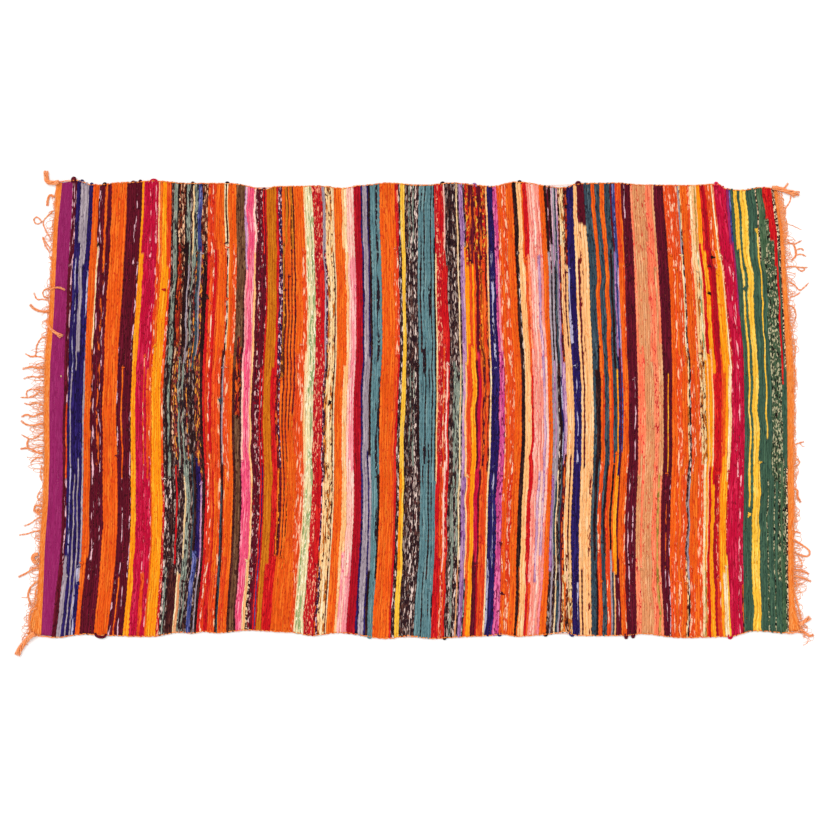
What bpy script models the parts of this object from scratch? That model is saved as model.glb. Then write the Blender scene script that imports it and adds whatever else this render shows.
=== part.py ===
"""A woven rag rug, 0.9 m by 1.5 m, lying flat: the rag cloth, and at each end a fringe of warp yarn on its heading.

The warp runs along X and the rag weft along Y, so the fringes are at the two X ends and the selvedges at the two
Y sides. The origin is on the floor under the middle of the outline. The tables are in millimetres.
"""

import math

import bmesh
import bpy

MM = 0.001

# The rag cloth.
CLOTH_THICK = 5.0 * MM
CLOTH_UNEVEN = 0.4 * MM  # how much thicker or thinner a band of rags is
BAND_LENGTH = 0.21  # from one thick band of rags to the next
NOSE = 1.6 * MM  # how far a selvedge rounds in
STATIONS = 104  # rows of points along the rug
ROWS = 10  # rows of points across it
LOW_SIDE, HIGH_SIDE = -0.441, 0.460  # the selvedges' mean places

# The end headings and fringes.
YARN_THICK = 2.6 * MM
SEAM_GAP = 0.3 * MM  # between the rag cloth and a heading
HEADING_ROWS = 40
TAIL_STEPS = 5  # points along each bend of a tail

RAG_ORANGE = (0.86, 0.27, 0.05, 1.0)
WARP_ORANGE = (0.93, 0.36, 0.09, 1.0)

# The selvedges, from one end of the rug to the other: how far along X, and the edge's Y there.
HIGH_SELVEDGE = (
    (-704, 467), (-678, 470), (-640, 460), (-578, 465), (-522, 468), (-448, 463), (-368, 463), (-294, 451),
    (-278, 457), (-188, 458), (-144, 453), (-108, 459), (-48, 464), (12, 459), (76, 464), (156, 457),
    (202, 466), (298, 454), (328, 463), (406, 464), (452, 460), (552, 459), (604, 462), (628, 451),
    (652, 449), (692, 455), (722, 453),
)
LOW_SELVEDGE = (
    (-756, -442), (-718, -445), (-658, -438), (-614, -441), (-528, -443), (-468, -434), (-444, -437),
    (-422, -432), (-398, -436), (-332, -430), (-248, -434), (-204, -441), (-154, -435), (-52, -447),
    (-12, -441), (28, -447), (132, -442), (182, -438), (202, -443), (262, -439), (306, -433), (320, -441),
    (422, -441), (452, -437), (532, -445), (628, -443), (682, -431), (742, -436), (762, -432),
)

# The two end seams, from the low side to the high one: Y, the seam's X, and the X where its heading ends.
LEFT_SEAM = (
    (-441, -746, -769), (-400, -744, -764), (-370, -742, -753), (-330, -742, -754), (-270, -739, -751),
    (-205, -733, -743), (-140, -731, -742), (-70, -729, -739), (-9, -730, -740), (110, -728, -737),
    (230, -719, -729), (350, -714, -723), (410, -709, -719), (460, -704, -717),
)
RIGHT_SEAM = (
    (-436, 748, 760), (-370, 747, 758), (-330, 747, 756), (-230, 746, 755), (-170, 746, 762), (-110, 745, 756),
    (-9, 745, 760), (70, 744, 757), (150, 741, 748), (230, 736, 744), (300, 733, 744), (350, 732, 742),
    (400, 725, 733), (453, 717, 726),
)

# The fringe's tails, from the low side to the high one: the root's Y, the bend, the tip, and the tail's width.
LEFT_TAILS = (
    (-434, (-774, -456), (-792, -484), 10), (-311, (-770, -316), (-790, -323), 3.5),
    (-288, (-759, -289), (-766, -287), 9), (-231, (-765, -234), (-790, -238), 2.5),
    (-200, (-760, -204), (-779, -221), 4), (-118, (-746, -110), (-748, -104), 3.5),
    (-88, (-757, -89), (-765, -96), 2.5), (-77, (-760, -70), (-787, -67), 5), (-37, (-760, -45), (-783, -40), 4),
    (-17, (-764, -21), (-785, -13), 3.5), (3, (-762, -2), (-783, -4), 5), (40, (-765, 39), (-786, 37), 5),
    (79, (-760, 80), (-779, 74), 3), (95, (-760, 95), (-781, 92), 3.5), (111, (-756, 121), (-777, 124), 4),
    (157, (-747, 152), (-753, 140), 3.5), (208, (-746, 206), (-767, 220), 5), (229, (-752, 230), (-761, 244), 3),
    (334, (-733, 342), (-742, 359), 4), (386, (-745, 387), (-760, 388), 6), (433, (-728, 440), (-732, 426), 4),
    (456, (-733, 463), (-736, 485), 7),
)
RIGHT_TAILS = (
    (-427, (779, -434), (793, -444), 6), (-408, (772, -416), (789, -405), 8), (-308, (777, -312), (790, -328), 8),
    (-272, (777, -272), (788, -279), 8), (-238, (764, -237), (770, -234), 3.5),
    (-215, (759, -211), (765, -200), 3), (-152, (768, -155), (773, -172), 5), (-94, (763, -93), (767, -92), 8),
    (-61, (765, -59), (775, -54), 3.5), (200, (755, 203), (758, 190), 5), (230, (768, 241), (786, 259), 5),
    (295, (758, 297), (790, 293), 6), (332, (761, 335), (782, 318), 5), (412, (744, 411), (750, 414), 9),
    (446, (744, 450), (766, 444), 8),
)


def clear_scene():
    for old in list(bpy.data.objects):
        bpy.data.objects.remove(old)


def read_table(rows, at, column=1):
    """The table's value in that column at a place in its first column, eased from row to row."""
    if at <= rows[0][0]:
        return rows[0][column] * MM
    for low, high in zip(rows, rows[1:]):
        if at <= high[0]:
            share = (at - low[0]) / (high[0] - low[0])
            eased = share * share * (3 - 2 * share)
            return (low[column] + (high[column] - low[column]) * eased) * MM
    return rows[-1][column] * MM


def cloth_point(along, across):
    """The X and Y of a point of the cloth, which is 0 to 1 along it from left to right and across it from low to high."""
    height = (LOW_SIDE + (HIGH_SIDE - LOW_SIDE) * across) / MM
    left, right = read_table(LEFT_SEAM, height), read_table(RIGHT_SEAM, height)
    x = left + (right - left) * along
    low, high = read_table(LOW_SELVEDGE, x / MM), read_table(HIGH_SELVEDGE, x / MM)
    return x, low + (high - low) * across


def cloth_height(along, across):
    """How thick the cloth is there: a few bands of rags are thicker than the rest, and they drift a little."""
    turn = 2 * math.pi * along / BAND_LENGTH + 0.9 * math.sin(2 * math.pi * across)
    return CLOTH_THICK + CLOTH_UNEVEN * math.sin(turn)


def cloth_ring(along):
    """The points round the cloth at one place along it: over the top from low to high, then back underneath."""
    top, under = [], []
    for row in range(ROWS + 1):
        across = row / ROWS
        x, y = cloth_point(along, across)
        thick = cloth_height(along, across)
        side = (row == ROWS) - (row == 0)  # 1 at the high selvedge, -1 at the low one
        inner_y = y - side * NOSE
        top.append((x, inner_y, thick * (0.85 if side else 1.0)))
        under.append((x, inner_y, 0.0))
        if side:
            nose = (x, y, thick * 0.45)
            top.insert(0, nose) if side < 0 else top.append(nose)
    return top + under[::-1]


def object_of(name, build, colour):
    """A new object whose mesh the build function fills, with its own material."""
    mesh = bpy.data.meshes.new(name)
    edit = bmesh.new()
    build(edit)
    bmesh.ops.recalc_face_normals(edit, faces=edit.faces)
    edit.to_mesh(mesh)
    edit.free()
    finish = bpy.data.materials.new(name)
    finish.use_nodes = True
    shader = finish.node_tree.nodes["Principled BSDF"]
    shader.inputs["Base Color"].default_value = colour
    shader.inputs["Roughness"].default_value = 0.95
    shader.inputs["Metallic"].default_value = 0.0
    mesh.materials.append(finish)
    made = bpy.data.objects.new(name, mesh)
    bpy.context.scene.collection.objects.link(made)
    return made


def build_cloth(edit):
    """The rag cloth as a closed loft of its rings."""
    rings = [[edit.verts.new(point) for point in cloth_ring(n / STATIONS)] for n in range(STATIONS + 1)]
    for near, far in zip(rings, rings[1:]):
        for i, start in enumerate(near):
            after = (i + 1) % len(near)
            edit.faces.new((start, near[after], far[after], far[i]))
    for ring in (rings[0], rings[-1]):
        cap_end(edit, ring)


def cap_end(edit, ring):
    """Closes an end of the loft, with a quad between each pair of rows on top and underneath."""
    count = ROWS + 1
    nose_low, top = ring[0], ring[1:count + 1]
    nose_high, under = ring[count + 1], ring[count + 2:][::-1]
    for i in range(ROWS):
        edit.faces.new((under[i], under[i + 1], top[i + 1], top[i]))
    edit.faces.new((under[0], top[0], nose_low))
    edit.faces.new((under[-1], nose_high, top[-1]))


def tail_sides(root, bend, tip, width):
    """The two sides of a tail and its blunt tip: it leaves its root, turns at its bend and thins a little."""
    centre, half = [], []
    for step in range(TAIL_STEPS + 1):
        t = step / TAIL_STEPS
        a, b, c = (1 - t) ** 2, 2 * t * (1 - t), t * t
        centre.append(tuple(a * r + b * m + c * e for r, m, e in zip(root, bend, tip)))
        half.append(width / 2 * (1 - 0.3 * t))
    low, high = [], []
    for i, (x, y) in enumerate(centre):
        before, after = centre[max(i - 1, 0)], centre[min(i + 1, TAIL_STEPS)]
        dx, dy = after[0] - before[0], after[1] - before[1]
        size = math.hypot(dx, dy)
        out = (-dy / size * half[i], dx / size * half[i])
        low.append((x + out[0], y + out[1]))
        high.append((x - out[0], y - out[1]))
    (x, y), (dx, dy) = centre[-1], (centre[-1][0] - centre[-2][0], centre[-1][1] - centre[-2][1])
    reach = half[-1] / math.hypot(dx, dy)
    return low, (x + dx * reach, y + dy * reach), high


def tail_outline(seam, tail, side):
    """The points round one tail, from its low side round its tip to its high side."""
    root_y, bend, tip, width = tail
    root = (read_table(seam, root_y, 2) / MM - side, root_y)
    first, point, second = tail_sides(root, bend, tip, width)
    if side > 0:
        first, second = second, first
    return [(x * MM, y * MM) for x, y in first[1:] + [point] + second[:0:-1]]


def comb_outline(seam, tails, side):
    """The outline of a heading and its tails, in metres: up the seam, then back down the outer edge."""
    low_y, high_y = seam[0][0], seam[-1][0]
    heights = [low_y + (high_y - low_y) * n / HEADING_ROWS for n in range(HEADING_ROWS + 1)]
    cloth_end = [cloth_point(side > 0, row / ROWS) for row in range(ROWS + 1)]
    inner = [(x + side * SEAM_GAP, y) for x, y in cloth_end]
    stretches = []  # the outer edge's stretches, each with the Y that puts it in order
    for y in heights:
        if all(abs(y - tail[0]) > tail[3] / 2 + 2 for tail in tails):
            stretches.append((y, [(read_table(seam, y, 2), y * MM)]))
    for tail in tails:
        stretches.append((tail[0], tail_outline(seam, tail, side)))
    outer = [point for _, points in sorted(stretches) for point in points]
    return inner + outer[::-1]


def build_comb(seam, tails, side):
    """A function that fills a mesh with one end's heading and fringe."""

    def build(edit):
        outline = comb_outline(seam, tails, side)
        face = edit.faces.new([edit.verts.new((x, y, 0.0)) for x, y in outline])
        made = bmesh.ops.extrude_face_region(edit, geom=[face])
        raised = [item for item in made["geom"] if isinstance(item, bmesh.types.BMVert)]
        bmesh.ops.translate(edit, verts=raised, vec=(0.0, 0.0, YARN_THICK))

    return build


def main():
    clear_scene()
    object_of("rug_body", build_cloth, RAG_ORANGE)
    object_of("fringe_left", build_comb(LEFT_SEAM, LEFT_TAILS, -1), WARP_ORANGE)
    object_of("fringe_right", build_comb(RIGHT_SEAM, RIGHT_TAILS, 1), WARP_ORANGE)


main()
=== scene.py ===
"""The looks of the rag rug: picks of rag, warp threads, knots and fringe yarns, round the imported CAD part.

Lengths and places are in millimetres up to the point where a mesh is made. Along X the rug runs from the
left heading, past the plum band, to the green band and the right heading. Along Y a pick runs from the low
selvedge to the high one. The cloth is weft-faced: warp threads run straight along X at mid thickness, and
each pick of rag passes over one and under the next, with its neighbours doing the opposite.
"""

import math
from statistics import NormalDist

import bpy
import numpy as np
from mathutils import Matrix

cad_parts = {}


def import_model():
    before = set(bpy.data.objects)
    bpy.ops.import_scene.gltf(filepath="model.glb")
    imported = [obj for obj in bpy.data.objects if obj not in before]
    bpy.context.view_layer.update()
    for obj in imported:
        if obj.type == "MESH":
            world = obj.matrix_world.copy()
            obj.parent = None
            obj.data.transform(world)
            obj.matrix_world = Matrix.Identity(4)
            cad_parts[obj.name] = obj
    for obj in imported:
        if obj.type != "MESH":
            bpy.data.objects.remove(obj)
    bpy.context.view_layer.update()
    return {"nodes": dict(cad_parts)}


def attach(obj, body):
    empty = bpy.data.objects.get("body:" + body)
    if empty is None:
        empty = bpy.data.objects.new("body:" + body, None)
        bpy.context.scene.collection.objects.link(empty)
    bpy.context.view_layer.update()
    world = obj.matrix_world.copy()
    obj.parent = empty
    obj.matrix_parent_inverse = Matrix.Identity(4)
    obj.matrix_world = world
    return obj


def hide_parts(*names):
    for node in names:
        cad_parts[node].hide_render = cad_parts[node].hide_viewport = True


MM = 0.001

# ---------------------------------------------------------------- the weave's sizes

WARPS = 170  # an even number, so that a pick which turns over one selvedge cord turns under the other
WARP_RADIUS = 0.4
WARP_RINGS = 16
WARP_INSET = 1.0  # how far short of the heading's outer edge a warp thread stops
RAG_MIDDLE = 2.5  # height of the warp in the rag cloth
FINE_MIDDLE = 1.75  # middle of the plum band's and the headings' picks, which are finer
FINE_WARP = 1.2  # height of the warp there
THINNING = 5.0  # how far along the warp the change takes
SECTIONS_TO_A_PIECE = 7
CLOTH_TOP = 4.4
BAND_TOP = 2.7

# A pick of rag. What strays does so up to that much either way.
RAG_RISE = 0.5  # how far a pick's middle rises above the warp and dips below it
RAG_HALF_HEIGHT = 1.6
RAG_COVER = 0.585  # half a rag's width, as a share of the distance between picks
RAG_HUMP = 0.05  # how much wider than that it is over a warp, and narrower under one
RAG_UNEVEN = 0.30  # how far a rag's share of its section strays
RAG_BULGE = 0.12  # how far its width strays from that
RAG_SWELL = 0.10  # how far its height strays, as a share
RAG_SIDEWAYS = 0.4  # how far its middle strays sideways
RAG_UP_DOWN = 0.15  # and up and down
RAG_ROLL = 0.15  # how far it rolls, in radians
NARROW_LIFT = 0.6  # how much higher than the rest a pick of no width would lie
NARROW_HEIGHT = 0.7  # how thick that pick would be beside a usual one
TINT_ALONG = 0.05  # how far its lightness strays along it
TINT_APART = 0.04  # and from pick to pick
SLOW_DRIFT = 1.5  # how far whole stripes drift sideways in long waves
QUICK_DRIFT = 0.7  # and in short ones

# A pick of fine yarn.
PLUM_PICKS = 12
HEADING_PICKS = 6
FINE_UNEVEN = 0.12
FINE_RISE = 0.22
FINE_HALF_HEIGHT = 0.75
FINE_COVER = 0.62
FINE_BULGE = 0.10
FINE_UP_DOWN = 0.05

# The selvedges. A pick's turn has three points, from the cloth to the tip: how far towards the pick that it
# joins, as a share of the distance between picks; how far out past the cord, as a share of TURN_REACH; and
# how far over or under it, as a share of the cord's radius.
CORD_RADIUS = 1.25
CORD_RINGS = 520
CORD_INSET = 0.6  # how far inside the outline the cord's middle lies, as a share of its radius
CORD_LIFT = 0.5  # how much higher than the warp it lies
CORD_WAVE = 3.1  # it bends round the turns in waves: their length, over 2 pi
CORD_BEND = 0.45  # how far it bends sideways
CORD_HEAVE = 0.3  # and up and down
CORD_STRAY = 0.35
TURN_REACH = 1.2
TURN_POINTS = ((0.12, 0, 1), (0.36, 0.75, 0.6), (0.52, 1, 0))
TURN_TAPER = (0.72, 0.56, 0.42)  # the rag's size at those points

# The heights where the sections' edges and the rags are charted, from the low selvedge to the high one.
GUIDE_HEIGHTS = (-396, -220, 10, 210, 424)
RAG_JOINS = (-306, -106, 109, 317)
JOIN_SPREAD = 34  # how far from there a rag may end
CHARTED_SPREAD = 3.4  # how far from the heights that a stripe gives for itself
JOINS_WITH_KNOTS = 0.22  # the share of rag joins that show a knot
JOIN_KNOT_SIZES = (4.5, 6.5)  # the least and the most that such a knot is across

# ---------------------------------------------------------------- the rags

# Each rag's own colour, its flecks' colour and its spots' colour (red, green and blue out of 255), the share
# of it that is fleck, a fleck's length and width, and the share that is spot.
RAGS = {
    "orange": ((233, 88, 18), (246, 116, 32), (212, 62, 18), 0.34, 60, 2.6, 0.12),
    "orange_white": ((232, 78, 26), (255, 194, 154), (214, 58, 18), 0.24, 20, 3.0, 0.12),
    "orange_dark": ((232, 98, 20), (66, 22, 20), (246, 142, 40), 0.34, 150, 2.6, 0.15),
    "ochre_dark": ((200, 116, 26), (96, 44, 20), (240, 140, 40), 0.34, 150, 2.6, 0.15),
    "red_orange": ((226, 66, 24), (242, 104, 38), (198, 36, 24), 0.30, 44, 2.8, 0.12),
    "red_orange_white": ((228, 60, 26), (255, 208, 178), (198, 30, 24), 0.22, 20, 3.0, 0.12),
    "maroon": ((92, 14, 32), (114, 20, 42), (64, 8, 22), 0.26, 45, 2.8, 0.16),
    "maroon_white": ((92, 14, 34), (238, 184, 196), (62, 8, 24), 0.29, 28, 3.4, 0.16),
    "maroon_orange": ((92, 14, 30), (232, 96, 28), (56, 8, 20), 0.38, 26, 3.2, 0.18),
    "crimson": ((194, 10, 54), (222, 44, 82), (158, 6, 40), 0.24, 45, 2.8, 0.14),
    "crimson_white": ((198, 14, 56), (250, 172, 178), (158, 6, 40), 0.24, 24, 3.0, 0.12),
    "deep_red": ((170, 10, 30), (190, 24, 38), (142, 6, 24), 0.25, 50, 2.8, 0.14),
    "red": ((202, 16, 26), (230, 48, 36), (162, 8, 22), 0.26, 36, 2.8, 0.14),
    "red_white": ((198, 24, 32), (250, 164, 130), (156, 8, 30), 0.22, 9, 2.4, 0.14),
    "red_brown": ((150, 28, 20), (220, 92, 34), (44, 14, 16), 0.32, 20, 3.2, 0.30),
    "red_yellow": ((196, 34, 24), (244, 168, 50), (110, 16, 26), 0.28, 8, 2.4, 0.20),
    "amber": ((252, 148, 14), (255, 178, 44), (240, 116, 12), 0.28, 60, 2.8, 0.10),
    "yellow": ((250, 192, 60), (254, 214, 104), (226, 158, 34), 0.26, 50, 2.8, 0.10),
    "ochre": ((200, 106, 14), (214, 124, 26), (178, 84, 14), 0.30, 50, 2.8, 0.12),
    "brown": ((106, 66, 44), (134, 94, 66), (66, 32, 24), 0.30, 32, 2.8, 0.16),
    "dark_brown": ((70, 24, 26), (100, 50, 42), (44, 12, 16), 0.26, 30, 2.8, 0.20),
    "hot_pink": ((240, 84, 122), (254, 146, 164), (214, 50, 104), 0.32, 45, 3.0, 0.10),
    "pink": ((248, 144, 150), (252, 190, 184), (236, 104, 134), 0.32, 50, 3.0, 0.12),
    "pale_pink": ((250, 190, 172), (252, 214, 198), (246, 150, 146), 0.30, 55, 3.0, 0.12),
    "magenta": ((206, 70, 134), (236, 120, 166), (120, 22, 70), 0.32, 36, 3.4, 0.20),
    "lilac": ((192, 142, 178), (230, 182, 194), (160, 100, 152), 0.30, 50, 3.0, 0.14),
    "purple": ((158, 108, 160), (190, 146, 186), (112, 56, 114), 0.30, 36, 3.0, 0.16),
    "plum": ((154, 34, 98), (166, 48, 110), (142, 28, 88), 0.30, 30, 2.0, 0.12),
    "cream": ((246, 206, 150), (254, 230, 190), (218, 160, 104), 0.30, 40, 3.0, 0.10),
    "cream_green": ((236, 216, 166), (150, 168, 108), (250, 240, 206), 0.32, 45, 4.0, 0.20),
    "cream_print": ((244, 204, 146), (190, 100, 28), (84, 34, 20), 0.36, 22, 3.6, 0.16),
    "peach": ((252, 186, 120), (255, 208, 156), (240, 154, 88), 0.28, 55, 3.0, 0.10),
    "peach_maroon": ((252, 184, 122), (124, 26, 18), (240, 156, 98), 0.20, 22, 4.0, 0.10),
    "salmon": ((246, 142, 122), (254, 190, 172), (234, 104, 108), 0.36, 60, 3.0, 0.12),
    "coral": ((250, 122, 84), (255, 156, 112), (226, 56, 54), 0.30, 45, 3.0, 0.10),
    "coral_red": ((250, 136, 96), (200, 24, 40), (255, 164, 122), 0.24, 9, 2.8, 0.10),
    "tan": ((222, 146, 96), (238, 174, 124), (214, 104, 70), 0.30, 50, 2.8, 0.08),
    "tan_red": ((222, 146, 96), (206, 60, 44), (238, 176, 124), 0.13, 14, 2.8, 0.12),
    "olive": ((206, 158, 80), (140, 120, 40), (240, 140, 84), 0.36, 20, 3.4, 0.14),
    "green": ((60, 88, 70), (76, 108, 84), (46, 72, 60), 0.28, 45, 2.8, 0.14),
    "green_speckle": ((66, 88, 62), (186, 178, 140), (28, 22, 18), 0.32, 6, 3.6, 0.24),
    "light_green": ((68, 96, 66), (98, 120, 88), (40, 66, 50), 0.30, 40, 2.8, 0.14),
    "teal": ((94, 132, 138), (122, 156, 158), (72, 104, 112), 0.30, 50, 2.8, 0.12),
    "teal_black": ((94, 132, 138), (38, 24, 34), (120, 156, 158), 0.56, 80, 8.0, 0.10),
    "slate": ((52, 70, 82), (82, 100, 108), (34, 38, 48), 0.26, 36, 2.8, 0.18),
    "navy": ((36, 20, 82), (52, 38, 110), (24, 12, 50), 0.28, 45, 2.8, 0.18),
    "navy_white": ((38, 26, 88), (186, 178, 206), (26, 14, 54), 0.44, 60, 4.5, 0.12),
    "navy_dots": ((46, 20, 60), (232, 190, 192), (150, 12, 34), 0.26, 7, 2.6, 0.22),
    "blue": ((58, 66, 128), (120, 122, 178), (36, 34, 82), 0.32, 30, 3.0, 0.18),
    "grey": ((160, 144, 154), (188, 172, 178), (130, 112, 128), 0.30, 50, 3.0, 0.12),
    "sage": ((134, 144, 130), (46, 34, 38), (176, 176, 158), 0.36, 20, 3.0, 0.18),
    "black_print": ((42, 20, 26), (172, 148, 138), (92, 56, 48), 0.24, 13, 2.8, 0.24),
    "black_white": ((42, 20, 26), (230, 204, 192), (92, 52, 50), 0.33, 15, 2.8, 0.18),
    "black": ((40, 16, 20), (74, 40, 38), (24, 8, 10), 0.26, 30, 2.8, 0.20),
    "black_dots": ((40, 18, 22), (240, 204, 164), (120, 60, 44), 0.44, 4, 4.0, 0.14),
    "dark_red_white": ((84, 12, 28), (226, 176, 172), (150, 16, 34), 0.22, 9, 2.6, 0.20),
    "brown_print": ((110, 40, 24), (240, 186, 146), (34, 14, 14), 0.36, 16, 3.2, 0.30),
    "bright_print": ((54, 24, 34), (240, 150, 54), (150, 52, 48), 0.36, 14, 3.0, 0.30),
}

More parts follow.
